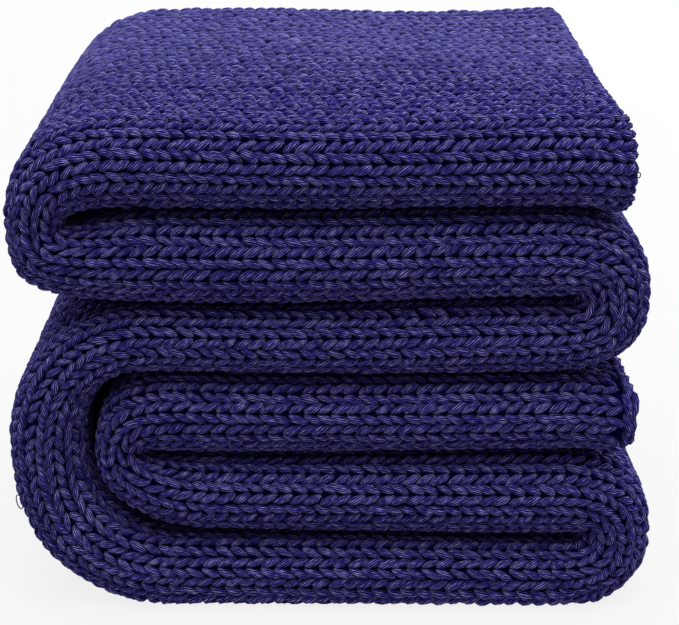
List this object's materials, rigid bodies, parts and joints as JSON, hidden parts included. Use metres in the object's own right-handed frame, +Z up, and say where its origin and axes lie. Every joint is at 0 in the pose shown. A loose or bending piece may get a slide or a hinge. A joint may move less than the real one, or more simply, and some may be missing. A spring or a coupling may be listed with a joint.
{
  "type": "weighted blanket",
  "caption": "Chunky stockinette weighted blanket, doubled with its fold to the front and folded back and forth into a thick flat pile, its free ends at one side.",
  "frame": {"origin": "middle of the underside, where the pile rests", "axes": "+X to the right, along the layers, towards the free ends; +Y to the back, where the edges of the doubled cloth lie; +Z up"},
  "size_m": [0.3644, 0.2606, 0.2927],
  "materials": {
    "knit": "chunky stockinette of soft navy blue yarn, matt with a faint sheen"
  },
  "bodies": {
    "root": {"blanket": "knit"}
  },
  "joints": []
}
